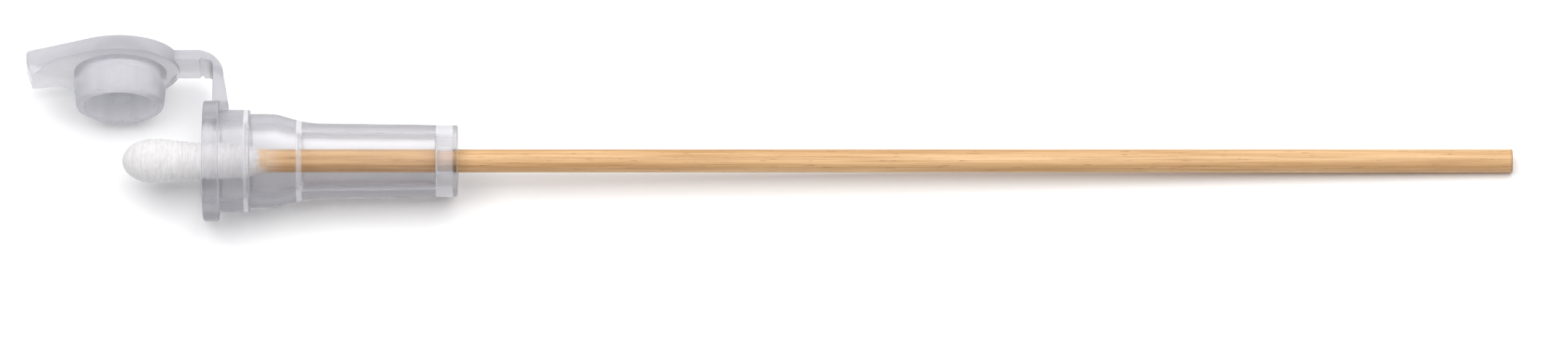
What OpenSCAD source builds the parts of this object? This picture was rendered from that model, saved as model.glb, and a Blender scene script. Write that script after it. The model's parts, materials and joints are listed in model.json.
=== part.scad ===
// Swab held in a short captive tube. The tube, its strap and its plug cap are one soft plastic moulding.
// The tube's axis runs along +X from the centre of its mouth, which is the origin, and the cap lies
// open on the +Y side. The whole object is then tipped a little, as it lies on a table.

/* [Swab] */
// Length of the whole swab, from the tip to the cut end
swab_len = 152.4; // [100:0.1:200]
// Diameter of the wooden shaft
shaft_d = 2.54; // [2:0.02:3]
// Chamfer round the shaft's cut end
shaft_chamfer = 0.12; // [0.05:0.01:0.3]

/* [Cotton bud] */
// Largest diameter of the bud
bud_d = 4.9; // [4.2:0.1:5.6]
// Diameter of the bud behind its swell
bud_waist_d = 3.9; // [3.4:0.1:4.2]
// Length of the bud
bud_len = 15.9; // [14:0.1:18]
// Length of the bud's rounded nose
bud_nose = 3.4; // [2:0.1:5]
// Distance from the tip to the end of the swell
bud_swell = 9.6; // [8:0.1:10.5]
// Length of the bud's tail, where the winding thins out on the shaft
bud_tail = 3.4; // [2:0.1:4]
// Thickness of the winding at the end of the tail
bud_edge = 0.06; // [0.04:0.01:0.2]
// How far the tip stands out of the mouth
bud_reach = 8.9; // [5:0.1:10]
// How far behind the tip the shaft's front end stops
bud_cover = 1.4; // [0.6:0.1:2.5]

/* [Plug cap] */
// How far the disc's rim lies inside the flange's
cap_inset = 0.12; // [0:0.02:0.3]
// Thickness of the cap's disc
cap_t = 1.8; // [1.4:0.1:2.1]
// Bevel round the disc's outer face
cap_bevel = 0.25; // [0.1:0.05:0.4]
// Diameter of the plug's sealing land, next to the disc
plug_d = 10.18; // [9:0.02:11]
// Length of the sealing land
plug_land = 1.2; // [0.8:0.1:1.6]
// Length of the plug
plug_len = 4.1; // [3.6:0.1:4.8]
// Wall of the plug at its open end
plug_wall = 0.95; // [0.6:0.05:1.2]
// Rounding of the plug's open end
plug_round = 0.5; // [0.1:0.05:0.55]
// Draft of the plug's hollow, on its radius
plug_draft = 0.12; // [0.04:0.02:0.3]

/* [Thumb tab] */
// Reach of the tab from the cap's centre
tab_reach = 10.3; // [9:0.1:13]
// Width of the tab at its end
tab_end_w = 4; // [3:0.1:8]
// Thickness of the tab at its end
tab_end_t = 2.9; // [2:0.05:3.2]
// How far the tab's end face runs square from the outer face
tab_square = 1.1; // [0.6:0.1:1.6]
// How far the end face then leans back towards the disc
tab_lean = 0.6; // [0.2:0.1:1]
// Corner radius at the tab's end
tab_corner = 0.5; // [0.3:0.1:1.2]

/* [Tube] */
// Length of the tube
tube_len = 27.9; // [24:0.1:50]
// Thickness of the mouth flange
flange_t = 1.75; // [1.2:0.05:2.2]
// How far the flange stands out from the collar
flange_lip = 1.02; // [0.8:0.02:1.6]
// Wall of the collar, round the plug
collar_wall = 0.46; // [0.45:0.01:0.9]
// Thickness of the seat behind the plug
seat_t = 0.45; // [0.3:0.05:0.8]
// Step down from the collar to the neck
neck_step = 0.45; // [0.25:0.05:0.5]
// Length of the neck
neck_len = 2.8; // [2:0.1:4]
// Wall of the neck
neck_wall = 0.9; // [0.7:0.05:1]
// Slope of the taper from the neck to the barrel, in degrees
taper_angle = 16; // [13:1:20]
// Radius of the hollow curve that blends the taper into the barrel
blend_r = 11; // [8:1:13]
// Diameter of the barrel where the blend meets it
barrel_d = 8.3; // [7.9:0.1:8.8]
// Diameter of the barrel at its far end
barrel_end_d = 7.86; // [7.4:0.02:8.2]
// Wall of the barrel
barrel_wall = 1; // [0.7:0.05:1.1]
// How far behind the taper the throat narrows to the barrel's bore
ledge_back = 0.5; // [0.2:0.1:1]
// Width of the ledge where it narrows
ledge = 0.5; // [0.3:0.05:0.6]
// Thickness of the end wall that guides the shaft
end_wall = 2.3; // [1.5:0.1:3]
// Lead-in round the mouth
lead_in = 0.25; // [0.1:0.05:0.3]
// Small edges broken on the flange, the collar and the barrel's end
edge = 0.15; // [0.05:0.05:0.2]

/* [Strap and hinge] */
// Width of the strap
strap_w = 5; // [4:0.1:6]
// Thickness of the strap's arm, which runs level with the cap's outer face
arm_t = 1.35; // [1.2:0.05:1.5]
// Thickness of the strap's riser at the hinge line
riser_t = 1.2; // [1:0.05:1.4]
// Thickness of the strap's riser at its root on the collar
root_t = 1.8; // [1.4:0.1:2.4]
// How far the hinge line stands out from the flange
hinge_out = 3.25; // [3:0.05:5]
// How far the hinge line lies behind the mouth
hinge_back = 0.6; // [0.5:0.05:0.9]
// How far the riser's front lies behind the hinge line
riser_set = 0.35; // [0.2:0.05:0.45]
// Outer radius of the strap's bend
bend_r = 3; // [2.4:0.1:3.2]
// Angle above the riser at which the bend is parted, in degrees
part_angle = 30; // [20:1:45]

/* [Fits] */
// Radial clearance of the shaft in the end wall
shaft_fit = 0.05; // [0.02:0.01:0.1]
// Radial clearance of the plug in the mouth
plug_fit = 0.05; // [0.02:0.01:0.1]
// Radial clearance of the plug's open end as it swings into the mouth
swing_fit = 0.04; // [0.02:0.01:0.1]
// Gap between the shut cap and the flange
seat_gap = 0.05; // [0.02:0.01:0.1]
// Gap between the plug's end and the seat behind it
nose_gap = 0.6; // [0.3:0.05:0.9]
// Radial clearance round the hinge bead
hinge_fit = 0.05; // [0.02:0.01:0.1]
// Gap where the bend is parted
part_gap = 0.1; // [0.05:0.01:0.2]
// Clearance between the flange and the slope under the thumb tab
tab_gap = 0.3; // [0.1:0.05:0.6]

/* [Hidden] */
$fn = 96;
arc_steps = 6;
nose_steps = 8;
body_steps = 12;
past = 1; // how far a cut runs past the face that it opens

shaft_r = shaft_d / 2;
bud_start = -bud_reach;
shaft_start = bud_start + bud_cover;
shaft_end = bud_start + swab_len;

plug_r = plug_d / 2;
mouth_r = plug_r + plug_fit;
seat_x = plug_len + nose_gap;
collar_r = mouth_r + collar_wall;
flange_r = collar_r + flange_lip;
neck_x = seat_x + seat_t;
neck_r = collar_r - neck_step;
taper_x = neck_x + neck_len;
throat_r = neck_r - neck_wall;
barrel_r = barrel_d / 2;
barrel_end_r = barrel_end_d / 2;
end_wall_x = tube_len - end_wall;

// The blend is an arc that leaves the taper at its slope and meets the barrel level.
blend_x = taper_x + (neck_r - barrel_r - blend_r * (1 - cos(taper_angle))) / tan(taper_angle);
barrel_x = blend_x + blend_r * sin(taper_angle);
ledge_x = blend_x + ledge_back;
bore_r = barrel_r - barrel_wall;

hinge_y = flange_r + hinge_out;
riser_front = hinge_back + riser_set;
riser_back = riser_front + riser_t;

// The cap is drawn shut, and a quarter turn back about the hinge line opens it.
cap_r = flange_r - cap_inset;
cap_front = -seat_gap;
cap_back = cap_front - cap_t;
open_cap_x = hinge_back - hinge_y;
open_cap_y = hinge_y + hinge_back - cap_back;
arm_in = open_cap_y - arm_t;
bead_r = arm_in - hinge_y - hinge_fit;

// The plug's open end is as wide as the swing into the mouth allows.
plug_end = cap_front + plug_len;
plug_end_r = plug_round - hinge_y
    + sqrt(pow(hinge_y + mouth_r - swing_fit - plug_round, 2) - pow(plug_end - plug_round - hinge_back, 2));
hollow_r = plug_end_r - plug_wall;

// The object lies on the flange's back edge, the shaft's cut end and the rim of the open cap.
rest_slope = atan((flange_r - shaft_r) / (shaft_end - flange_t));
rest_drop = flange_t * sin(rest_slope) + flange_r * cos(rest_slope);
rest_roll = asin((rest_drop - cap_r - open_cap_x * sin(rest_slope)) / (open_cap_y * cos(rest_slope)));

// Points of an arc about a centre, from one angle to another
function arc(centre, r, from, to) =
    [for (i = [0 : arc_steps]) let (a = from + (to - from) * i / arc_steps) centre + r * [cos(a), sin(a)]];

// A smooth fall from 1 to 0 as t goes from 0 to 1
function fall(t) = (1 + cos(180 * t)) / 2;

// Radius of the bud at a distance s behind its tip
function bud_r(s) =
    let (tail = bud_len - bud_tail, waist_r = bud_waist_d / 2)
    s < bud_nose ? bud_d / 2 * sqrt(1 - pow(1 - s / bud_nose, 2))
    : s < bud_swell ? waist_r + (bud_d / 2 - waist_r) * fall((s - bud_nose) / (bud_swell - bud_nose))
    : s < tail ? waist_r
    : shaft_r + bud_edge + (waist_r - shaft_r - bud_edge) * fall((s - tail) / bud_tail);

// The object as it lies on a table
module lying() {
    rotate([0, rest_slope, 0]) rotate([-rest_roll, 0, 0]) children();
}

// A turned shape along +X, from a profile of distances and radii
module turned(profile) {
    rotate([0, 90, 0]) rotate_extrude() polygon([for (p = profile) [p[1], p[0]]]);
}

// What lies in the strap's plane, about the hinge line
module at_hinge() {
    translate([hinge_back, hinge_y, 0]) children();
}

// The strap's whole band, from the collar round the bend to the cap's rim
module band() {
    linear_extrude(strap_w, center = true) {
        polygon([
            [riser_front, 0], [riser_front + root_t, 0], [riser_front + root_t, collar_r],
            [riser_back, hinge_y], [riser_front, hinge_y]
        ]);
        intersection() {
            difference() {
                translate([open_cap_x + plug_r, 0]) square([riser_back - open_cap_x - plug_r, open_cap_y]);
                translate([open_cap_x, -past]) square([riser_front - open_cap_x, arm_in + past]);
            }
            union() {
                translate([open_cap_x, 0]) square([riser_back - bend_r - open_cap_x, open_cap_y]);
                square([riser_back, open_cap_y - bend_r]);
                translate([riser_back - bend_r, open_cap_y - bend_r]) circle(bend_r);
            }
        }
    }
}

// Everything above the line where the bend is parted, or from a gap above it
module above_parting(gap = 0) {
    reach = 2 * open_cap_y;
    at_hinge() rotate([0, 0, part_angle]) translate([-reach, gap, -strap_w]) cube([2 * reach, reach, 2 * strap_w]);
}

module tube_outside() {
    turned(concat(
        [[0, 0], [0, flange_r - edge], [edge, flange_r], [flange_t - edge, flange_r], [flange_t, flange_r - edge]],
        [[flange_t, collar_r], [neck_x - edge, collar_r], [neck_x, collar_r - edge], [neck_x, neck_r]],
        [[taper_x, neck_r]],
        arc([barrel_x, barrel_r + blend_r], blend_r, 270 - taper_angle, 270),
        [[tube_len - edge, barrel_end_r], [tube_len, barrel_end_r - edge], [tube_len, 0]]
    ));
}

module tube_bore() {
    turned([
        [-past, 0], [-past, mouth_r + lead_in], [0, mouth_r + lead_in], [lead_in, mouth_r],
        [seat_x, mouth_r], [seat_x, throat_r], [taper_x, throat_r],
        [ledge_x, bore_r + ledge], [ledge_x, bore_r],
        [end_wall_x, barrel_end_r - barrel_wall], [end_wall_x, 0]
    ]);
    translate([end_wall_x - past, 0, 0]) rotate([0, 90, 0])
        cylinder(r = shaft_r + shaft_fit, h = end_wall + 2 * past);
}

module tube() {
    color([0.84, 0.85, 0.88]) lying() {
        difference() {
            union() {
                tube_outside();
                difference() {
                    band();
                    above_parting();
                }
            }
            tube_bore();
        }
        at_hinge() cylinder(r = bead_r, h = strap_w, center = true);
    }
}

// Disc and hollow plug, drawn shut
module plug_cap() {
    turned(concat(
        [[cap_back, 0], [cap_back, cap_r - cap_bevel], [cap_back + cap_bevel, cap_r], [cap_front - edge, cap_r]],
        [[cap_front, cap_r - edge], [cap_front, plug_r], [cap_front + plug_land, plug_r]],
        arc([plug_end - plug_round, plug_end_r - plug_round], plug_round, 90, 0),
        [[plug_end, hollow_r], [cap_front, hollow_r - plug_draft], [cap_front, 0]]
    ));
}

// Thumb tab, drawn shut: its sides run on from the disc's rim, and it thickens towards its end
module thumb_tab() {
    half = tab_end_w / 2;
    touch = atan2(half, tab_reach) + acos(cap_r / norm([tab_reach, half]));
    side = cap_r * [cos(touch), sin(touch)];
    corner = [tab_reach - tab_corner, half - tab_corner];
    intersection() {
        translate([cap_back + tab_end_t, 0, 0]) rotate([90, 0, -90]) linear_extrude(tab_end_t)
            polygon(concat(
                [side],
                arc(corner, tab_corner, 90, 0),
                arc([corner.x, -corner.y], tab_corner, 0, -90),
                [[side.x, -side.y]]
            ));
        linear_extrude(2 * cap_r, center = true)
            polygon([
                [cap_back, 0], [cap_front, 0], [cap_front, -flange_r - tab_gap],
                [cap_back + tab_end_t, tab_lean - tab_reach], [cap_back + tab_square, -tab_reach],
                [cap_back, -tab_reach]
            ]);
    }
}

module cap() {
    color([0.82, 0.82, 0.86]) lying() {
        translate([hinge_back, hinge_y, 0]) rotate([0, 0, -90]) translate([-hinge_back, -hinge_y, 0]) {
            plug_cap();
            thumb_tab();
        }
        difference() {
            intersection() {
                band();
                above_parting(part_gap);
            }
            at_hinge() cylinder(r = bead_r + hinge_fit, h = strap_w + 2 * past, center = true);
        }
    }
}

module shaft() {
    color([0.87, 0.68, 0.45]) lying()
        turned([
            [shaft_start, 0], [shaft_start, shaft_r], [shaft_end - shaft_chamfer, shaft_r],
            [shaft_end, shaft_r - shaft_chamfer], [shaft_end, 0]
        ]);
}

module cotton_bud() {
    color([0.96, 0.96, 0.95]) lying()
        turned(concat(
            [for (i = [0 : nose_steps]) let (s = bud_nose * (1 - cos(90 * i / nose_steps))) [bud_start + s, bud_r(s)]],
            [for (i = [1 : body_steps]) let (s = bud_nose + (bud_len - bud_nose) * i / body_steps)
                [bud_start + s, bud_r(s)]],
            [[bud_start + bud_len, shaft_r], [shaft_start, shaft_r], [shaft_start, 0]]
        ));
}

tube();
cap();
shaft();
cotton_bud();
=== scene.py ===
"""Dresses the specimen swab tube: a clear tube with a strapped plug cap, a birch stick and a cotton bud.

Shapes are built straight and in millimetres, with the tube's axis along +X from the centre of its mouth and
the open cap on the +Y side, and are then laid down in the frame's own place and size.
"""

import json
import logging
import math
from dataclasses import dataclass, field
from enum import Enum
from typing import Any, Sequence

import bmesh
import bpy
from mathutils import Matrix, Vector, noise


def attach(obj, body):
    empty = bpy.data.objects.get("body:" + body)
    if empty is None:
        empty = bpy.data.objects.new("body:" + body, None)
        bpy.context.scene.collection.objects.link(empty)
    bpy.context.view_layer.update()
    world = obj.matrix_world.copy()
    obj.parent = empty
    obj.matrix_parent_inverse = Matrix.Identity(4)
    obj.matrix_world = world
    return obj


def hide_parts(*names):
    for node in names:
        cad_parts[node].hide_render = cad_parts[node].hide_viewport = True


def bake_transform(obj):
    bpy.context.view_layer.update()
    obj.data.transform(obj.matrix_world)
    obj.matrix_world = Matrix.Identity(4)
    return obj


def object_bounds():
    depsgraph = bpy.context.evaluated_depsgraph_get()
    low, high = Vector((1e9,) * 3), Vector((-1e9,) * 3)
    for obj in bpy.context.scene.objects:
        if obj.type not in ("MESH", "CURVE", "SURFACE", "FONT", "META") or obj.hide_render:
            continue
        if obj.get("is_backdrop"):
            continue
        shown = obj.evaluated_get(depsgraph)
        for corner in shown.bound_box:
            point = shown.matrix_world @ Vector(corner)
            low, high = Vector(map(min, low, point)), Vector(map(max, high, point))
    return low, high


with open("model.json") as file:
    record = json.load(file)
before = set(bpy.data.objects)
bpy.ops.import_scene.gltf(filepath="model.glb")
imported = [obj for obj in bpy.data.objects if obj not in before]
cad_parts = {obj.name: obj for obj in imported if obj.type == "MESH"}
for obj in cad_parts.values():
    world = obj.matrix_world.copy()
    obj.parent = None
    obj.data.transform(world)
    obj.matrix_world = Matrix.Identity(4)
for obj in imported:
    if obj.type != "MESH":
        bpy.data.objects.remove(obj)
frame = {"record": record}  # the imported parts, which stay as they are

LOG = logging.getLogger("swab_tube")
MM = 0.001

NOISE_SPAN = (0.3, 0.7)  # where most of a noise's values lie

Point = tuple[float, float]
Span = tuple[float, float]
Colour = tuple[float, float, float, float]


class Body(str, Enum):
    """The bodies that pieces ride on."""

    TUBE = "tube"
    CAP = "cap"
    SWAB = "swab"


class Slot(str, Enum):
    """The record's material slots."""

    MOULDING = "clear_moulding"
    STICK = "birch"
    BUD = "cotton"


# ------------------------------------------------------------------------------------- where the object lies


@dataclass(frozen=True)
class Lie:
    """Where the object lies: the turn and place from its straight millimetre frame to the frame's metres."""

    mouth: Vector
    along: Vector
    out: Vector
    up: Vector
    hinge: Point
    stick_end: float
    neck_r: float

    @classmethod
    def from_record(cls, record: dict[str, Any]) -> "Lie":
        """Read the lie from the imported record's joints and mounts.

        Args:
            record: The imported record.

        Returns:
            The lie, with the hinge line's place, the stick's end and the neck's radius in millimetres.
        """
        joints = {j["name"]: j for j in record["behaviour"]["joints"]}
        mounts = {m["name"]: m for m in record["mounts"]}
        mouth = Vector(mounts["mouth_rim"]["pos_m"])
        along = Vector(joints["swab_slide"]["axis"]).normalized()
        up = Vector(joints["cap_hinge"]["axis"]).normalized()
        out = up.cross(along)
        hinge = (Vector(joints["cap_hinge"]["pos_m"]) - mouth) / MM
        end = (Vector(mounts["stick_end"]["pos_m"]) - mouth) / MM
        return cls(
            mouth, along, out, up, (hinge @ along, hinge @ out), end @ along, mounts["neck"]["dims"]["r_mm"]
        )

    @property
    def turn(self) -> Matrix:
        """The turn from the straight frame to the lying one."""
        return Matrix((self.along, self.out, self.up)).transposed()

    def matrix(self) -> Matrix:
        """The whole placement, from straight millimetres to metres as the object lies."""
        return Matrix.Translation(self.mouth) @ self.turn.to_4x4() @ Matrix.Scale(MM, 4)

    def place(self, x: float, y: float, z: float = 0.0) -> Vector:
        """A straight millimetre point, as it lies, in metres."""
        return self.matrix() @ Vector((x, y, z))


# ----------------------------------------------------------------------------------------- outlines and mesh


def arc(centre: Point, radius: float, start: float, end: float, steps: int) -> list[Point]:
    """Points of an arc.

    Args:
        centre: The arc's centre.
        radius: Its radius.
        start: The angle of its first point, in degrees.
        end: The angle of its last point, in degrees.
        steps: How many chords it has.

    Returns:
        The arc's points, both ends included.
    """
    angles = [math.radians(start + (end - start) * i / steps) for i in range(steps + 1)]
    return [(centre[0] + radius * math.cos(a), centre[1] + radius * math.sin(a)) for a in angles]


def softened(corners: Sequence[tuple[float, float, float]], steps: int = 4) -> list[Point]:
    """Round each corner of a closed outline.

    Args:
        corners: Each corner's place and the radius that it is rounded to, or 0 for a sharp one.
        steps: How many chords a rounded corner has.

    Returns:
        The outline's points, in order.
    """
    points: list[Point] = []
    count = len(corners)
    for i, (x, y, radius) in enumerate(corners):
        here = Vector((x, y))
        before = Vector(corners[i - 1][:2]) - here
        after = Vector(corners[(i + 1) % count][:2]) - here
        half = before.angle(after) / 2
        if radius <= 0 or half > math.radians(89.9):
            points.append((x, y))
            continue
        reach = min(radius / math.tan(half), 0.49 * before.length, 0.49 * after.length)
        centre = here + (before.normalized() + after.normalized()).normalized() * (reach / math.cos(half))
        start = here + before.normalized() * reach - centre
        end = here + after.normalized() * reach - centre
        sweep = start.angle_signed(end)
        for step in range(steps + 1):
            turned = Matrix.Rotation(-sweep * step / steps, 2) @ start
            points.append((centre.x + turned.x, centre.y + turned.y))
    return points


def spun(profile: Sequence[Point], segments: int, closed: bool) -> bmesh.types.BMesh:
    """Turn a profile about the X axis.

    Args:
        profile: The profile's points, as distances along the axis and radii.
        segments: How many segments the full turn has.
        closed: True for a ring, whose profile is a loop clear of the axis.

    Returns:
        The closed solid.
    """
    bm = bmesh.new()
    verts = [bm.verts.new((x, r, 0.0)) for x, r in profile]
    pairs = list(zip(verts, verts[1:])) + ([(verts[-1], verts[0])] if closed else [])
    edges = [bm.edges.new(pair) for pair in pairs]
    bmesh.ops.spin(
        bm, geom=verts + edges, cent=(0, 0, 0), axis=(1, 0, 0), angle=math.tau, steps=segments, use_merge=True
    )
    bmesh.ops.remove_doubles(bm, verts=bm.verts, dist=1e-5)
    bmesh.ops.recalc_face_normals(bm, faces=bm.faces)
    return bm


def made(name: str, bm: bmesh.types.BMesh, placement: Matrix) -> bpy.types.Object:
    """Make an object of a mesh, laid in its place.

    Args:
        name: The object's name.
        bm: The mesh, which is used up.
        placement: The turn, place and scale that the mesh is given.

    Returns:
        The object, which sits at the origin.
    """
    bmesh.ops.transform(bm, matrix=placement, verts=bm.verts)
    mesh = bpy.data.meshes.new(name)
    bm.to_mesh(mesh)
    bm.free()
    obj = bpy.data.objects.new(name, mesh)
    bpy.context.scene.collection.objects.link(obj)
    return obj


def fused(name: str, solids: Sequence[bpy.types.Object]) -> bpy.types.Object:
    """Join solids that overlap into one closed skin.

    Args:
        name: The name of the whole.
        solids: The solids; all but the first are used up.

    Returns:
        The first object, with the joined mesh.
    """
    whole = solids[0]
    for solid in solids[1:]:
        union = whole.modifiers.new("join", "BOOLEAN")
        union.operation, union.solver, union.object = "UNION", "EXACT", solid
        bpy.context.view_layer.update()
        evaluated = whole.evaluated_get(bpy.context.evaluated_depsgraph_get())
        mesh = bpy.data.meshes.new_from_object(evaluated)
        whole.modifiers.clear()
        whole.data = mesh
        bpy.data.objects.remove(solid)
    whole.name = whole.data.name = name
    return whole


def smooth(obj: bpy.types.Object, sharp_degrees: float) -> None:
    """Shade a piece smooth, apart from edges sharper than an angle."""
    obj.data.shade_smooth()
    obj.data.set_sharp_from_angle(angle=math.radians(sharp_degrees))


# ---------------------------------------------------------------------------------------------- shader maths


class Value:
    """A node's socket, wrapped so that Python's operators add Math nodes."""

    def __init__(self, shader: "Shader", socket: bpy.types.NodeSocket) -> None:
        """Wrap a socket of a shader's tree."""
        self.shader = shader
        self.socket = socket

    def _maths(self, operation: str, *values: Any) -> "Value":
        """Add one Math node."""
        node = self.shader.node("ShaderNodeMath", {"operation": operation}, dict(enumerate(values)))
        return Value(self.shader, node.outputs[0])

    def __add__(self, other: Any) -> "Value":
        """This plus another."""
        return self._maths("ADD", self, other)

    __radd__ = __add__

    def __sub__(self, other: Any) -> "Value":
        """This less another."""
        return self._maths("SUBTRACT", self, other)

    def __rsub__(self, other: Any) -> "Value":
        """Another less this."""
        return self._maths("SUBTRACT", other, self)

    def __mul__(self, other: Any) -> "Value":
        """This times another."""
        return self._maths("MULTIPLY", self, other)

    __rmul__ = __mul__

    def band(self, low: float, high: float, soft: float) -> "Value":
        """1 where this lies between two values and 0 elsewhere, with soft ends that lie outside them."""
        return self.ramp(low - soft, low) * self.ramp(high, high + soft, 1.0, 0.0)

    def ramp(self, low: float, high: float, to_low: float = 0.0, to_high: float = 1.0) -> "Value":
        """This, stretched smoothly from one range to another and held at its ends."""
        node = self.shader.node(
            "ShaderNodeMapRange",
            {"interpolation_type": "SMOOTHSTEP"},
            {0: self, 1: low, 2: high, 3: to_low, 4: to_high},
        )
        return Value(self.shader, node.outputs[0])


@dataclass(frozen=True)
class Cloud:
    """A noise: its stretch along the axes, its frequency, its finer layers and how strong they are."""

    stretch: tuple[float, float, float] = (1.0, 1.0, 1.0)
    scale: float = 1.0
    detail: float = 2.0
    roughness: float = 0.5


class Shader:
    """A material's node tree, with one way to add a node."""

    def __init__(self, name: str) -> None:
        """Start an empty material."""
        self.material = bpy.data.materials.new(name)
        self.material.use_nodes = True
        self.tree = self.material.node_tree
        self.tree.nodes.clear()

    def node(self, kind: str, settings: dict[str, Any], inputs: dict[Any, Any]) -> bpy.types.Node:
        """Add a node.

        Args:
            kind: The node's type.
            settings: Its settings, which are set first.
            inputs: Values or links for its inputs, by name or number.

        Returns:
            The node.
        """
        node = self.tree.nodes.new(kind)
        for key, value in settings.items():
            setattr(node, key, value)
        for key, value in inputs.items():
            if isinstance(value, Value):
                self.tree.links.new(value.socket, node.inputs[key])
            else:
                node.inputs[key].default_value = value
        return node

    def output_of(self, kind: str, settings: dict[str, Any], inputs: dict[Any, Any], name: Any = 0) -> Value:
        """Add a node and wrap one of its outputs."""
        return Value(self, self.node(kind, settings, inputs).outputs[name])

    def straight_mm(self, lie: Lie, stretch: Sequence[float] = (1.0, 1.0, 1.0)) -> Value:
        """Object coordinates, turned back to the straight frame, in millimetres, and stretched.

        Args:
            lie: How the object lies.
            stretch: What each straight coordinate is multiplied by.

        Returns:
            The coordinates.
        """
        coords = self.output_of("ShaderNodeTexCoord", {}, {}, "Object")
        turned = self.output_of(
            "ShaderNodeMapping",
            {"vector_type": "POINT"},
            {"Vector": coords, "Rotation": lie.turn.inverted().to_euler(), "Scale": (1 / MM,) * 3},
        )
        return self.output_of(
            "ShaderNodeMapping", {"vector_type": "POINT"}, {"Vector": turned, "Scale": stretch}
        )

    def cloud(self, lie: Lie, pattern: Cloud) -> Value:
        """A noise between 0 and 1 on the straight frame's millimetres."""
        return self.cloud_at(self.straight_mm(lie, pattern.stretch), pattern)

    def cloud_at(self, coords: Value, pattern: Cloud) -> Value:
        """A noise between 0 and 1.

        Args:
            coords: Where it is read.
            pattern: Its frequency, for each unit of coords, and its layers.

        Returns:
            The noise.
        """
        return self.output_of(
            "ShaderNodeTexNoise",
            {},
            {
                "Vector": coords,
                "Scale": pattern.scale,
                "Detail": pattern.detail,
                "Roughness": pattern.roughness,
            },
            "Fac",
        )

    def axes(self, coords: Value) -> tuple[Value, Value, Value]:
        """The three parts of coordinates."""
        node = self.node("ShaderNodeSeparateXYZ", {}, {0: coords})
        return tuple(Value(self, socket) for socket in node.outputs)

    def mixed(self, factor: Any, first: Any, second: Any) -> Value:
        """A colour between two, by a factor."""
        node = self.node("ShaderNodeMix", {"data_type": "RGBA"}, {"Factor": factor, 6: first, 7: second})
        return Value(self, node.outputs[2])

    def bump(self, height: Value, distance: float) -> Value:
        """A normal from a height.

        Args:
            height: The height, 0 to 1.
            distance: What a height of 1 stands for, in metres.

        Returns:
            The normal.
        """
        inputs = {"Height": height, "Distance": distance, "Strength": 1.0}
        return self.output_of("ShaderNodeBump", {}, inputs, "Normal")

    def finish(self, inputs: dict[str, Any]) -> bpy.types.Material:
        """Close the tree with a Principled shader.

        Args:
            inputs: The shader's inputs.

        Returns:
            The material.
        """
        return self.close({"Surface": self.output_of("ShaderNodeBsdfPrincipled", {}, inputs)})

    def close(self, outputs: dict[str, Value]) -> bpy.types.Material:
        """Close the tree with what goes to its surface and its volume."""
        self.node("ShaderNodeOutputMaterial", {}, outputs)
        return self.material


def rgb(red: float, green: float, blue: float) -> Colour:
    """A colour given by its screen values from 0 to 255, as a linear colour."""

    def linear(value: float) -> float:
        """One screen value as a linear one."""
        share = value / 255
        return share / 12.92 if share <= 0.04045 else ((share + 0.055) / 1.055) ** 2.4

    return (linear(red), linear(green), linear(blue), 1.0)


# -------------------------------------------------------------------------------------------------- finishes


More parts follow.
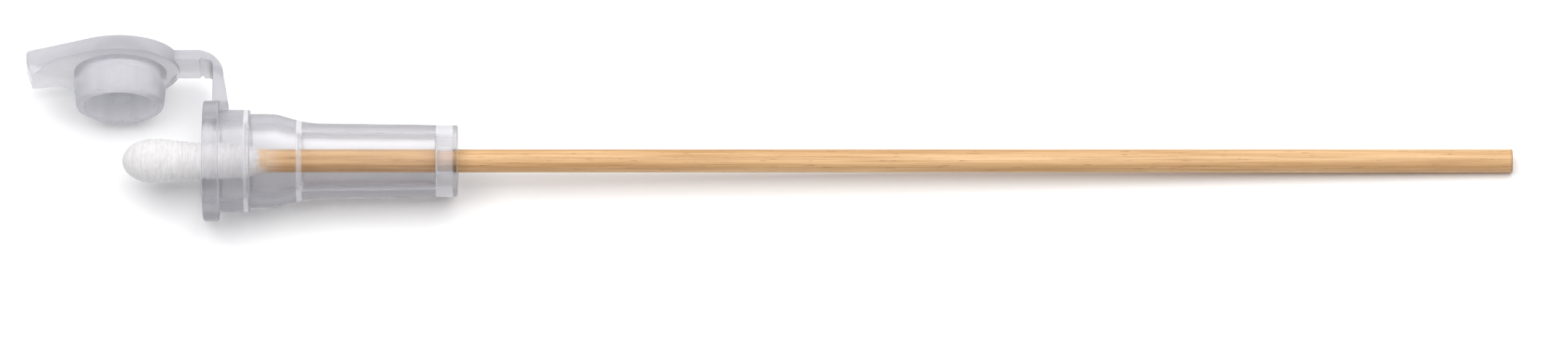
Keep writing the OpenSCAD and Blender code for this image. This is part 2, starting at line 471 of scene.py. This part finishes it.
@dataclass(frozen=True)
class ClearPlastic:
    """Natural polypropylene: clear in thin walls, milky where it is thick, lilac-grey and softly glossy."""

    clear: Colour = rgb(254, 254, 255)
    milky: Colour = rgb(224, 223, 228)
    # the whiter tone at the walls inside the tube: the end wall's milky plastic, and painted highlight on the
    # bright rings at the steps
    white: Colour = rgb(232, 232, 236)
    # a dark grey that paints shade: the haze's tone in the thin walls, where it shows mostly along the tube's
    # edges, and on the strap's riser and bend
    grey: Colour = rgb(182, 181, 187)
    mirror: Colour = (0.4, 0.4, 0.4, 1.0)
    index: float = 1.15
    tint: Colour = (0.55, 0.55, 0.6, 1.0)
    tint_density: float = 60.0
    # the skin
    flow: Cloud = Cloud((0.25, 1.0, 1.0), 0.9, 3.0)
    grain: Cloud = Cloud(scale=9.0)
    relief_mix: Span = (0.8, 0.2)
    skin_depth: float = 2.0e-6
    gloss_mix: Span = (0.7, 0.3)
    gloss_span: Span = (0.35, 0.65)
    gloss: Span = (0.18, 0.26)
    # how milky each part is
    haze: Cloud = Cloud(scale=0.35)
    haze_swing: Span = (0.6, 1.4)
    thin_veil: float = 0.02
    thick_veil: float = 0.36
    thick_soft: float = 0.5
    plug_veil: float = 0.28
    disc_span: Span = (-0.5, 0.1)
    wall_veil: float = 0.18
    wall_soft: float = 0.15
    edge_veil: float = 0.45
    edge_span: Span = (0.2, 0.45)
    brim_veil: float = 0.1
    brim_span: Span = (0.08, 0.25)
    strap_veil: float = 0.25
    strap_span: Span = (0.2, 0.9)
    # how much of the dark grey, which paints shade, the strap's riser and bend take
    strap_shade_share: float = 0.6

    def material(
        self, lie: Lie, thick_from: float, disc_at: float, walls: Sequence[Span]
    ) -> bpy.types.Material:
        """Build the plastic's material.

        Args:
            lie: How the object lies.
            thick_from: How far out from the tube's axis the thick strap and cap begin.
            disc_at: How far out the cap's disc begins, beyond its hollow plug.
            walls: The stretches along the tube where it has a step or a wall inside.

        Returns:
            The material.
        """
        shader = Shader("clear_polypropylene")
        flow = shader.cloud(lie, self.flow)
        haze = shader.cloud(lie, self.haze)
        grain = shader.cloud(lie, self.grain)
        along, out, _ = shader.axes(shader.straight_mm(lie))
        normal = shader.bump(flow * self.relief_mix[0] + grain * self.relief_mix[1], self.skin_depth)
        rough = (flow * self.gloss_mix[0] + grain * self.gloss_mix[1]).ramp(*self.gloss_span, *self.gloss)
        # milkier, whiter bands at the walls inside: partly the end wall's real milkiness, partly painted
        # highlight on the rings at the steps
        walled = sum(along.band(start, end, self.wall_soft) for start, end in walls)
        thick = out.ramp(thick_from, thick_from + self.thick_soft)
        # a longer way through the plastic at its edges makes it milkier there; in the thin walls that
        # milkiness takes a dark grey, so the tube's edges carry painted shade
        facing = shader.output_of("ShaderNodeLayerWeight", {}, {"Blend": 0.5}, "Facing")
        edge = facing.ramp(*self.edge_span) * (1.0 - thick)
        brim = facing.ramp(*self.brim_span) * thick
        # the strap's riser and bend, and the flange's rim beside them, take part of the dark grey: painted
        # shade
        strap = along.ramp(*self.strap_span) * thick
        disc_start, disc_end = (disc_at + shift for shift in self.disc_span)
        depth = out.ramp(disc_start, disc_end, self.plug_veil, self.thick_veil)
        veil = thick * depth + brim * self.brim_veil + strap * self.strap_veil
        veil = veil + walled * self.wall_veil + edge * self.edge_veil
        veil = veil + haze.ramp(*NOISE_SPAN, *self.haze_swing) * self.thin_veil
        # in the thin walls the haze is the dark grey, which paints shade along the tube's edges; at the walls
        # inside it is white instead
        thin_shade_and_highlight_tone = shader.mixed(walled, self.grey, self.white)
        tone = shader.mixed(strap * self.strap_shade_share, shader.mixed(thick, thin_shade_and_highlight_tone, self.milky), self.grey)
        gloss = {"Roughness": rough, "IOR": self.index, "Specular Tint": self.mirror, "Normal": normal}
        see_through = {"Base Color": self.clear, "Transmission Weight": 1.0}
        surface = shader.output_of(
            "ShaderNodeMixShader",
            {},
            {
                0: veil,
                1: shader.output_of("ShaderNodeBsdfPrincipled", {}, see_through | gloss),
                2: shader.output_of("ShaderNodeBsdfPrincipled", {}, {"Base Color": tone} | gloss),
            },
        )
        tinted = shader.output_of(
            "ShaderNodeVolumeAbsorption", {}, {"Color": self.tint, "Density": self.tint_density}
        )
        return shader.close({"Surface": surface, "Volume": tinted})


@dataclass(frozen=True)
class Birch:
    """Turned birch, unvarnished: pale, with long fine grain, darker streaks and small flecks."""

    pale: Colour = rgb(226, 186, 138)
    warm: Colour = rgb(186, 142, 94)
    dark: Colour = rgb(140, 100, 64)
    fluff: Colour = rgb(222, 212, 202)
    wander: Cloud = Cloud((0.03, 0.5, 0.5))
    rings: Cloud = Cloud((0.012, 1.3, 1.3), 1.0, 3.0, 0.6)
    fibres: Cloud = Cloud((0.08, 4.5, 4.5), 1.0, 4.0, 0.65)
    flecks: Cloud = Cloud((0.55, 7.0, 7.0))
    grain_mix: tuple[float, float, float] = (0.5, 0.5, 0.2)
    grain_span: Span = (0.42, 0.76)
    fleck_span: Span = (0.62, 0.74)
    fleck_tone: float = 0.55
    # stray cotton on the wood behind the bud
    fluff_start: float = 0.5
    fluff_length: float = 2.0
    fluff_drift: float = 2.0
    fluff_tone: float = 0.35
    # the cut end
    cut_depth: float = 0.35
    cut_tone: float = 0.5
    # the skin
    index: float = 1.45
    gloss: Span = (0.5, 0.68)
    relief_mix: Span = (0.7, 0.3)
    fibre_depth: float = 1.2e-5

    def material(self, lie: Lie, cotton_end: float) -> bpy.types.Material:
        """Build the wood's material.

        Args:
            lie: How the object lies, and so where the stick's cut end is, which is darker.
            cotton_end: Where the cotton ends; stray fibres lie on the wood behind it.

        Returns:
            The material.
        """
        shader = Shader("birch")
        along, _, _ = shader.axes(shader.straight_mm(lie))
        wander = shader.cloud(lie, self.wander)
        rings = shader.cloud(lie, self.rings)
        fibres = shader.cloud(lie, self.fibres)
        flecks = shader.cloud(lie, self.flecks)
        rings_share, fibres_share, wander_share = self.grain_mix
        grain = rings * rings_share + fibres * fibres_share + wander * wander_share
        wood = shader.mixed(grain.ramp(*self.grain_span), self.pale, self.warm)
        wood = shader.mixed(flecks.ramp(*self.fleck_span, 0.0, self.fleck_tone), wood, self.dark)
        stray = (along + (fibres - 0.5) * self.fluff_drift).ramp(
            cotton_end - self.fluff_start, cotton_end + self.fluff_length, self.fluff_tone, 0.0
        )
        wood = shader.mixed(stray, wood, self.fluff)
        cut = along.ramp(lie.stick_end - self.cut_depth, lie.stick_end, 0.0, self.cut_tone)
        height = fibres * self.relief_mix[0] + flecks * self.relief_mix[1]
        return shader.finish(
            {
                "Base Color": shader.mixed(cut, wood, self.dark),
                "Roughness": fibres.ramp(*NOISE_SPAN, *self.gloss),
                "IOR": self.index,
                "Normal": shader.bump(height, self.fibre_depth),
            }
        )


@dataclass(frozen=True)
class WoundCotton:
    """Bleached cotton, wound tight: white and matt, with fine fibres that run round the bud."""

    light: Colour = rgb(223, 221, 221)
    # the darker tone in the winding's hollows: painted shade
    shade: Colour = rgb(210, 208, 208)
    worn: Colour = rgb(216, 182, 142)
    wisps: Cloud = Cloud((0.5, 3.0, 3.0), 1.0, 3.0, 0.6)
    winding: Cloud = Cloud((5.0, 0.8, 0.8), 1.0, 4.0, 0.65)
    tufts: Cloud = Cloud(scale=2.2, detail=4.0, roughness=0.6)
    relief_mix: Span = (0.7, 0.3)
    relief_span: Span = (0.35, 0.6)
    fibre_depth: float = 2.5e-5
    # where the last turns thin out
    worn_length: float = 1.7
    worn_drift: float = 4.0
    # the light in and on the fibres
    index: float = 1.4
    rough: Span = (0.85, 0.98)
    glow: float = 0.35
    glow_tone: tuple[float, float, float] = (0.6, 0.5, 0.45)
    glow_depth: float = 0.0006
    sheen: float = 0.3
    sheen_rough: float = 0.6

    def material(self, lie: Lie, end: float) -> bpy.types.Material:
        """Build the cotton's material.

        Args:
            lie: How the object lies.
            end: Where the cotton ends on the stick, which shows through its last turns.

        Returns:
            The material.
        """
        shader = Shader("wound_cotton")
        along, _, _ = shader.axes(shader.straight_mm(lie))
        wisps = shader.cloud(lie, self.wisps)
        winding = shader.cloud(lie, self.winding)
        tufts = shader.cloud(lie, self.tufts)
        height = winding * self.relief_mix[0] + tufts * self.relief_mix[1]
        # darker where the winding's relief is low: painted shade in its hollows
        cotton = shader.mixed(height.ramp(*self.relief_span), self.shade, self.light)
        thin = (along + (wisps - 0.5) * self.worn_drift).ramp(end - self.worn_length, end)
        return shader.finish(
            {
                "Base Color": shader.mixed(thin, cotton, self.worn),
                "Roughness": winding.ramp(*NOISE_SPAN, *self.rough),
                "IOR": self.index,
                "Subsurface Weight": self.glow,
                "Subsurface Radius": self.glow_tone,
                "Subsurface Scale": self.glow_depth,
                "Sheen Weight": self.sheen,
                "Sheen Roughness": self.sheen_rough,
                "Normal": shader.bump(height, self.fibre_depth),
            }
        )


@dataclass(frozen=True)
class Paper:
    """The studio floor: plain, pale and matt. Its tooth is read in metres."""

    colour: Colour = rgb(250, 250, 250)
    tooth: Cloud = Cloud(scale=900.0)
    rough: Span = (0.85, 0.95)
    mirror: float = 0.1

    def material(self) -> bpy.types.Material:
        """Build the floor's material."""
        shader = Shader("studio_paper")
        coords = shader.output_of("ShaderNodeTexCoord", {}, {}, "Object")
        rough = shader.cloud_at(coords, self.tooth).ramp(*NOISE_SPAN, *self.rough)
        return shader.finish(
            {"Base Color": self.colour, "Roughness": rough, "Specular IOR Level": self.mirror}
        )


# -------------------------------------------------------------------------------------------------- moulding


@dataclass
class Moulding:
    """The one-piece moulding: stepped tube, strap with its living hinge, and plug cap with a thumb tab."""

    lie: Lie
    finish: ClearPlastic = field(default_factory=ClearPlastic)
    segments: int = 128
    sharp_degrees: float = 32.0
    thick_past: float = 0.2
    # tube
    tube_len: float = 27.9
    flange_r: float = 6.62
    flange_t: float = 1.75
    collar_r: float = 5.6
    collar_end: float = 5.15
    neck_end: float = 7.95
    taper_degrees: float = 16.0
    blend_r: float = 11.0
    barrel_r: float = 4.15
    barrel_end_r: float = 3.93
    mouth_r: float = 5.14
    seat: float = 4.7
    throat_r: float = 4.25
    ledge_at: float = 10.45
    ledge: float = 0.5
    wall: float = 1.0
    end_wall: float = 2.3
    hole_r: float = 1.32
    lead_in: float = 0.25
    # roundings of the tube
    tube_steps: int = 5
    flange_round: float = 0.22
    root_round: float = 0.12
    collar_round: float = 0.18
    neck_round: float = 4.0
    end_round: float = 0.2
    fine_round: float = 0.1
    end_wall_round: float = 0.25
    throat_round: float = 1.5
    # where the walls inside the tube are drawn milkier and whiter, from before to past each one: the end
    # wall's own milkiness, and painted highlight on the bright rings at the steps
    seat_band: Span = (-0.15, 0.2)
    ledge_band: Span = (-0.15, 0.3)
    end_band_short: float = 0.6
    # strap
    strap_w: float = 5.0
    arm_t: float = 1.35
    arm_inset: float = 0.03
    riser_t: float = 1.2
    root_t: float = 1.8
    riser_front: float = 0.95
    bend_r: float = 3.0
    bend_softness: float = 7.0
    groove: tuple[float, float, float] = (-0.3, 0.24, 0.22)  # middle along the tube, half width, depth
    strap_edge: float = 0.18
    strap_sunk: float = 0.3
    arm_sunk: float = 1.0
    riser_steps: int = 14
    bend_steps: int = 60
    arm_steps: int = 8
    width_steps: int = 10
    corner_steps: int = 3
    # where the bend would be shared between tube and cap; build works this line out but does nothing with it
    part_degrees: float = 30.0
    part_span: Span = (-0.75, 1.25)
    # cap
    cap_r: float = 6.5
    cap_t: float = 1.8
    cap_bevel: float = 0.25
    seal_bevel: float = 0.12
    rim_steps: int = 84
    seat_gap: float = 0.05
    plug_r: float = 5.09
    plug_land: float = 1.2
    plug_len: float = 4.1
    plug_end_r: float = 4.796
    plug_round: float = 0.5
    plug_wall: float = 0.95
    plug_draft: float = 0.12
    plug_sunk: float = 0.5
    plug_blend: float = 1.0
    plug_inner_round: float = 0.25
    plug_steps: int = 6
    tab_reach: float = 10.3
    tab_end_w: float = 4.0
    tab_end_t: float = 2.9
    tab_square: float = 1.1
    tab_lean: float = 0.6
    tab_corner: float = 0.5
    tab_gap: float = 0.3
    tab_root: float = 0.4

    @property
    def cap_centre(self) -> float:
        """Where the open cap's axis stands along the tube."""
        return self.lie.hinge[0] - self.lie.hinge[1]

    @property
    def cap_face(self) -> float:
        """How far the open cap's plug side stands out from the tube's axis."""
        return self.lie.hinge[0] + self.lie.hinge[1] + self.seat_gap

    @property
    def arm_out(self) -> float:
        """How far the strap's arm stands out from the tube's axis, at its outer face."""
        return self.cap_face + self.cap_t - self.arm_inset

    def tube(self) -> bmesh.types.BMesh:
        """The tube: flange, collar, neck, taper and barrel, with its stepped bore and the stick's hole."""
        slope = math.tan(math.radians(self.taper_degrees))
        knee = self.neck_end + (self.lie.neck_r - self.barrel_r) / slope
        end_wall_at = self.tube_len - self.end_wall
        bore_r = self.barrel_r - self.wall
        corners = [
            (0.0, self.flange_r, self.flange_round),
            (self.flange_t, self.flange_r, self.flange_round),
            (self.flange_t, self.collar_r, self.root_round),
            (self.collar_end, self.collar_r, self.collar_round),
            (self.collar_end, self.lie.neck_r, self.fine_round),
            (self.neck_end, self.lie.neck_r, self.neck_round),
            (knee, self.barrel_r, self.blend_r),
            (self.tube_len, self.barrel_end_r, self.end_round),
            (self.tube_len, self.hole_r, self.fine_round),
            (end_wall_at, self.hole_r, self.fine_round),
            (end_wall_at, self.barrel_end_r - self.wall, self.end_wall_round),
            (self.ledge_at, bore_r, self.fine_round),
            (self.ledge_at, bore_r + self.ledge, self.fine_round),
            (self.neck_end, self.throat_r, self.throat_round),
            (self.seat, self.throat_r, self.fine_round),
            (self.seat, self.mouth_r, self.root_round),
            (0.0, self.mouth_r, self.lead_in),
        ]
        return spun(softened(corners, self.tube_steps), self.segments, closed=True)

    def strap_stations(self) -> list[tuple[Point, Point]]:
        """The strap's cross-sections in its own plane, from the root round the bend to the cap.

        Returns:
            For each cross-section, its outer and its inner point.
        """
        back = self.riser_front + self.riser_t
        arm_in = self.arm_out - self.arm_t
        centre = (back - self.bend_r, self.arm_out - self.bend_r)
        stations: list[tuple[Point, Point]] = []
        rise, steps = centre[1] - self.collar_r, self.riser_steps
        heights = [self.collar_r - self.strap_sunk]
        heights += [self.collar_r + rise * i / steps for i in range(steps)]
        for height in heights:
            share = max(0.0, (height - self.collar_r) / rise)
            outer = self.riser_front + self.root_t + (self.riser_t - self.root_t) * share
            stations.append(((outer, height), (self.riser_front, height)))
        corner = (self.riser_front - centre[0], arm_in - centre[1])
        middle, half, depth = self.groove
        for outer in arc(centre, self.bend_r, 0.0, 90.0, self.bend_steps):
            across, over = (outer[0] - centre[0]) / self.bend_r, (outer[1] - centre[1]) / self.bend_r
            ray = (across / corner[0]) ** self.bend_softness + (over / corner[1]) ** self.bend_softness
            reach = ray ** (-1 / self.bend_softness)
            inner_x, inner_y = centre[0] + across * reach, centre[1] + over * reach
            inner_y += depth * max(0.0, 1 - ((inner_x - middle) / half) ** 4)
            stations.append((outer, (inner_x, inner_y)))
        stop = self.cap_centre + self.cap_r - self.arm_sunk
        for i in range(1, self.arm_steps + 1):
            x = centre[0] + (stop - centre[0]) * i / self.arm_steps
            stations.append(((x, self.arm_out), (x, arm_in)))
        return stations

    def strap_section(self, inner: Point, outer: Point, root: bool) -> list[Vector]:
        """One cross-section of the strap: a rectangle with rounded corners.

        Args:
            inner: The point of the strap's inner face, in the strap's own plane.
            outer: The point of its outer face.
            root: True where the section is sunk in the collar's wall, which it follows.

        Returns:
            The section's points, in order.
        """
        half = self.strap_w / 2
        thickness = math.dist(inner, outer)
        corner = min(self.strap_edge, 0.45 * thickness)
        steps = self.corner_steps
        across = [half * (2 * i / self.width_steps - 1) for i in range(1, self.width_steps)]
        outline = (
            arc((corner, -half + corner), corner, 180.0, 270.0, steps)
            + arc((thickness - corner, -half + corner), corner, 270.0, 360.0, steps)
            + [(thickness, z) for z in across]
            + arc((thickness - corner, half - corner), corner, 0.0, 90.0, steps)
            + arc((corner, half - corner), corner, 90.0, 180.0, steps)
            + [(0.0, z) for z in reversed(across)]
        )
        points = []
        for depth, z in outline:
            share = depth / thickness
            x = inner[0] + (outer[0] - inner[0]) * share
            y = inner[1] + (outer[1] - inner[1]) * share
            points.append(Vector((x, math.sqrt(y**2 - z**2) if root else y, z)))
        return points

    def strap(self) -> bmesh.types.BMesh:
        """The strap, lofted from the collar's wall round the bend to the inside of the cap's disc."""
        bm = bmesh.new()
        last: list[bmesh.types.BMEdge] = []
        for number, (outer, inner) in enumerate(self.strap_stations()):
            verts = [bm.verts.new(point) for point in self.strap_section(inner, outer, number == 0)]
            ring = [bm.edges.new(pair) for pair in zip(verts, verts[1:] + verts[:1])]
            if last:
                bmesh.ops.bridge_loops(bm, edges=last + ring)
            else:
                bm.faces.new(verts)
            last = ring
        bm.faces.new(verts)
        bmesh.ops.recalc_face_normals(bm, faces=bm.faces)
        return bm

    def cap_plate(self) -> bmesh.types.BMesh:
        """The cap's disc with its thumb tab, which thickens outwards; its plug side lies at z = 0."""
        half = self.tab_end_w / 2
        touch = math.degrees(
            math.atan2(half, self.tab_reach) + math.acos(self.cap_r / math.hypot(half, self.tab_reach))
        )
        rim = arc((0.0, 0.0), self.cap_r, touch, 360.0 - touch, self.rim_steps)
        corner = self.tab_corner
        end = softened(
            [(*rim[-1], 0.0), (self.tab_reach, -half, corner), (self.tab_reach, half, corner), (*rim[0], 0.0)]
        )
        bm = bmesh.new()
        verts = [bm.verts.new((x, y, 0.0)) for x, y in rim + end[1:-1]]
        plate = [bm.faces.new(verts)]
        raised = bmesh.ops.extrude_face_region(bm, geom=plate)["geom"]
        top = [item for item in raised if isinstance(item, bmesh.types.BMVert)]
        bmesh.ops.translate(bm, verts=top, vec=(0, 0, self.cap_t))
        bmesh.ops.recalc_face_normals(bm, faces=bm.faces)
        for height, bevel in ((self.cap_t, self.cap_bevel), (0.0, self.seal_bevel)):
            rims = [e for e in bm.edges if all(abs(v.co.z - height) < 1e-4 for v in e.verts)]
            bmesh.ops.bevel(
                bm,
                geom=rims,
                offset=bevel,
                offset_type="OFFSET",
                segments=self.corner_steps,
                profile=0.5,
                affect="EDGES",
                material=-1,
            )
        start = self.flange_r + self.tab_gap
        for cut in (start, start + self.tab_root, (start + self.tab_reach) / 2):
            everything = list(bm.verts) + list(bm.edges) + list(bm.faces)
            bmesh.ops.bisect_plane(bm, geom=everything, plane_co=(cut, 0, 0), plane_no=(1, 0, 0))
        everything = list(bm.verts) + list(bm.edges) + list(bm.faces)
        square = self.cap_t - self.tab_square
        bmesh.ops.bisect_plane(bm, geom=everything, plane_co=(0, 0, square), plane_no=(0, 0, 1))
        for vert in bm.verts:
            if vert.co.x > start and vert.co.z < square:
                share = (vert.co.x - start) / (self.tab_reach - start)
                fall = (square - vert.co.z) / square
                vert.co.z -= (self.tab_end_t - self.cap_t) * share * fall
                vert.co.x -= self.tab_lean * share * fall
        return bm

    def plug(self) -> bmesh.types.BMesh:
        """The hollow plug, along +X from inside the disc to its rounded open end."""
        hollow_r = self.plug_end_r - self.plug_wall
        corners = [
            (-self.plug_sunk, self.plug_r, 0.0),
            (self.plug_land, self.plug_r, self.plug_blend),
            (self.plug_len, self.plug_end_r, self.plug_round),
            (self.plug_len, hollow_r, self.plug_inner_round),
            (-self.plug_sunk, hollow_r - self.plug_draft, 0.0),
        ]
        return spun(softened(corners, self.plug_steps), self.segments, closed=True)

    def walls(self) -> tuple[Span, ...]:
        """The stretches along the tube where it has a step or a wall inside."""
        return (
            (self.seat + self.seat_band[0], self.seat + self.seat_band[1]),
            (self.ledge_at + self.ledge_band[0], self.ledge_at + self.ledge_band[1]),
            (self.tube_len - self.end_wall, self.tube_len - self.end_band_short),
        )

    def build(self) -> bpy.types.Object:
        """Join the solids into one skin and dress it; the line where the bend would part between tube and cap
        is worked out but not used.

        Returns:
            The moulding.
        """
        straight = Matrix.Identity(4)
        face = Matrix.Translation((self.cap_centre, self.cap_face, 0.0))
        plate_turn = Matrix(((-1, 0, 0, 0), (0, 0, 1, 0), (0, 1, 0, 0), (0, 0, 0, 1)))
        plug_turn = Matrix.Rotation(-math.pi / 2, 4, "Z")
        solids = [
            made("tube_solid", self.tube(), straight),
            made("strap_solid", self.strap(), straight),
            made("plate_solid", self.cap_plate(), face @ plate_turn),
            made("plug_solid", self.plug(), face @ plug_turn),
        ]
        piece = fused("moulding", solids)
        piece.data.transform(self.lie.matrix())
        smooth(piece, self.sharp_degrees)
        piece.data.materials.clear()
        thick_from = self.collar_r + self.thick_past
        plastic = self.finish.material(self.lie, thick_from, self.cap_face, self.walls())
        piece.data.materials.append(plastic)
        part = math.radians(self.part_degrees)
        towards_cap = Vector((-math.cos(part), math.sin(part)))
        level = Vector(self.lie.hinge) @ towards_cap
        start, end = (towards_cap * (level + shift) for shift in self.part_span)
        self.lie.place(*start)
        self.lie.place(*end)
        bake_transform(piece)
        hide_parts("tube", "cap")
        return piece


# ------------------------------------------------------------------------------------------------------ swab


@dataclass
class Stick:
    """The birch stick, square cut at its far end."""

    lie: Lie
    radius: float = 1.27
    start: float = -7.5
    chamfer: float = 0.05
    segments: int = 64
    sharp_degrees: float = 30.0
    cotton_end: float = 7.0
    finish: Birch = field(default_factory=Birch)

    def build(self) -> bpy.types.Object:
        """Build the stick, dress it and set it on the swab.

        Returns:
            The stick.
        """
        end = self.lie.stick_end
        bm = spun(
            [
                (self.start, 0.0),
                (self.start, self.radius),
                (end - self.chamfer, self.radius),
                (end, self.radius - self.chamfer),
                (end, 0.0),
            ],
            self.segments,
            closed=False,
        )
        piece = made("stick", bm, self.lie.matrix())
        smooth(piece, self.sharp_degrees)
        piece.data.materials.append(self.finish.material(self.lie, self.cotton_end))
        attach(piece, Body.SWAB.value)
        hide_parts("shaft")
        return piece


@dataclass
class CottonBud:
    """The wound cotton bud: a rounded nose, a slight swell, ridges and a tail that thins out on the stick."""

    lie: Lie
    tip: float = -8.9
    length: float = 15.9
    nose: float = 3.4
    swell: float = 9.6
    tail: float = 3.4
    radius: float = 2.45
    waist_r: float = 1.95
    stick_r: float = 1.27
    tail_edge: float = 0.02
    grip: float = 0.98
    rings: int = 260
    nose_rings: int = 40
    segments: int = 96
    sharp_degrees: float = 60.0
    # the winding: its ridges, lumps and fibres, and how deep it is pressed in
    pitch: float = 0.6
    ridge: float = 0.03
    drift: Span = (0.5, 0.5)
    lump_pitch: Span = (1.6, 1.4)
    lump: Span = (0.8, 0.05)
    fibre_pitch: Span = (9.0, 3.0)
    fibre: float = 0.02
    layers: tuple[float, float, int] = (1.0, 2.0, 3)
    pressed: float = 0.03
    fade: Span = (2.5, 1.5)
    still_r: float = 0.05
    still_end: float = 0.2
    finish: WoundCotton = field(default_factory=WoundCotton)

    def profile_r(self, s: float) -> float:
        """The bud's radius at a distance behind its tip."""

        def fall(t: float) -> float:
            """A smooth fall from 1 to 0."""
            return (1 + math.cos(math.pi * t)) / 2

        if s < self.nose:
            return self.radius * math.sqrt(max(0.0, 1 - (1 - s / self.nose) ** 2))
        if s < self.swell:
            share = fall((s - self.nose) / (self.swell - self.nose))
            return self.waist_r + (self.radius - self.waist_r) * share
        if s < self.length - self.tail:
            return self.waist_r
        edge = self.stick_r + self.tail_edge
        return edge + (self.waist_r - edge) * fall((s - self.length + self.tail) / self.tail)

    def build(self) -> bpy.types.Object:
        """Build the bud, dress it and set it on the swab.

        Returns:
            The bud.
        """
        count, rest, end = self.nose_rings, self.length - self.nose, self.tip + self.length
        stations = [self.nose * (1 - math.cos(math.pi / 2 * i / count)) for i in range(count)]
        stations += [self.nose + rest * i / self.rings for i in range(self.rings + 1)]
        profile = [(self.tip + s, self.profile_r(s)) for s in stations]
        profile += [(end, self.stick_r * self.grip), (end, 0.0)]
        bm = spun(profile, self.segments, closed=False)
        for vert in bm.verts:
            self.wind(vert)
        piece = made("cotton_winding", bm, self.lie.matrix())
        smooth(piece, self.sharp_degrees)
        piece.data.materials.append(self.finish.material(self.lie, end))
        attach(piece, Body.SWAB.value)
        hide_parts("cotton_bud")
        return piece

    def wind(self, vert: bmesh.types.BMVert) -> None:
        """Move one point of the bud in or out, for the winding's ridges and unevenness."""
        x, y, z = vert.co
        r = math.hypot(y, z)
        s = x - self.tip
        if r < self.still_r or s > self.length - self.still_end:
            return
        turn = math.atan2(z, y)
        side, rise = math.cos(turn), math.sin(turn)
        around = Vector((s * self.lump_pitch[0], side * self.lump_pitch[1], rise * self.lump_pitch[1]))
        drift = noise.noise(around * self.drift[0]) * self.drift[1]
        crest = math.sin(math.tau * (s / self.pitch + turn / math.tau + drift))
        share = min(1.0, s / self.fade[0]) * min(1.0, (self.length - s) / self.fade[1])
        lump = noise.fractal(around * self.lump[0], *self.layers) * self.lump[1]
        fine = Vector((s * self.fibre_pitch[0], side * self.fibre_pitch[1], rise * self.fibre_pitch[1]))
        fibre = noise.fractal(fine, *self.layers) * self.fibre
        grow = (self.ridge * crest + lump + fibre) * share - self.pressed
        vert.co.y, vert.co.z = y * (r + grow) / r, z * (r + grow) / r


# ---------------------------------------------------------------------------------------------------- studio


@dataclass(frozen=True)
class Softbox:
    """A soft light: where it hangs from the object's middle, how big it is and how strong."""

    name: str
    place: tuple[float, float, float]
    size: tuple[float, float]
    power: float
    tone: tuple[float, float, float] = (1.0, 0.995, 0.99)

    def hang(self, middle: Vector) -> None:
        """Hang the light, facing the object's middle."""
        data = bpy.data.lights.new(self.name, "AREA")
        data.shape, data.size, data.size_y = "RECTANGLE", *self.size
        data.energy, data.color = self.power, self.tone
        obj = bpy.data.objects.new(self.name, data)
        place = Vector(self.place)
        obj.location = middle + place
        obj.rotation_mode = "QUATERNION"
        obj.rotation_quaternion = (-place).to_track_quat("-Z", "Y")
        bpy.context.scene.collection.objects.link(obj)


@dataclass
class Studio:
    """The plain pale floor, the soft lights and the camera."""

    lie: Lie
    floor_z: float
    elevation: float = 69.0
    lens: float = 370.0
    sensor: float = 36.0
    frame_width: float = 171.9
    centre_along: float = 63.65
    centre_below: float = 2.2
    clip: Span = (0.01, 50.0)
    floor_reach: float = 3.0
    softboxes: tuple[Softbox, ...] = (
        Softbox("key", (0.0, 0.03, 0.9), (1.2, 0.6), 9.7),
        Softbox("back", (0.0, 0.5, 0.75), (1.2, 0.5), 3.0),
    )
    sky_tone: Colour = (0.88, 0.91, 0.97, 1.0)
    sky_strength: float = 0.25

    def camera_axes(self) -> tuple[Vector, Vector]:
        """The camera's view direction and its up direction, square to the tube's axis."""
        tilt = math.radians(self.elevation)
        level = Vector((0, 1, 0))
        rise = self.lie.along.cross(level).normalized()
        look = level * math.cos(tilt) - rise * math.sin(tilt)
        return look, level * math.sin(tilt) + rise * math.cos(tilt)

    def camera(self) -> None:
        """Place the camera."""
        look, up = self.camera_axes()
        data = bpy.data.cameras.new("camera")
        data.lens, data.sensor_width = self.lens, self.sensor
        data.clip_start, data.clip_end = self.clip
        target = self.lie.place(self.centre_along, 0.0) - up * self.centre_below * MM
        distance = self.frame_width * MM * self.lens / self.sensor
        obj = bpy.data.objects.new("camera", data)
        side = look.cross(up).normalized()
        turn = Matrix((side, up, -look)).transposed().to_4x4()
        obj.matrix_world = Matrix.Translation(target - look * distance) @ turn
        bpy.context.scene.collection.objects.link(obj)
        bpy.context.scene.camera = obj

    def floor(self) -> None:
        """Lay the floor."""
        bm = bmesh.new()
        bmesh.ops.create_grid(bm, x_segments=1, y_segments=1, size=self.floor_reach)
        obj = made("floor", bm, Matrix.Translation((0, 0, self.floor_z)))
        obj.data.materials.append(Paper().material())
        obj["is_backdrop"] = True

    def sky(self) -> None:
        """Fill the studio with faint light from all round."""
        world = bpy.data.worlds.new("studio")
        world.use_nodes = True
        background = world.node_tree.nodes["Background"]
        background.inputs["Color"].default_value = self.sky_tone
        background.inputs["Strength"].default_value = self.sky_strength
        bpy.context.scene.world = world

    def build(self) -> None:
        """Set up the whole studio."""
        bpy.context.scene.view_settings.view_transform = "Standard"
        self.camera()
        self.floor()
        for softbox in self.softboxes:
            softbox.hang(self.lie.place(self.centre_along, 0.0))
        self.sky()


def open_edges(obj: bpy.types.Object) -> int:
    """How many edges of a piece don't have just two faces."""
    bm = bmesh.new()
    bm.from_mesh(obj.data)
    count = sum(1 for edge in bm.edges if len(edge.link_faces) != 2)
    bm.free()
    return count


def main() -> None:
    """Build the studio and the pieces, and log how many triangles and open edges each piece has."""
    logging.basicConfig(level=logging.INFO, format="%(message)s")
    cad_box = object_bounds()
    lie = Lie.from_record(frame["record"])
    Studio(lie, cad_box[0].z).build()
    for maker in (Moulding(lie), Stick(lie), CottonBud(lie)):
        piece = maker.build()
        piece.data.calc_loop_triangles()
        triangles = len(piece.data.loop_triangles)
        LOG.info("%s: %d triangles, %d open edges", piece.name, triangles, open_edges(piece))


if __name__ == "__main__":
    main()
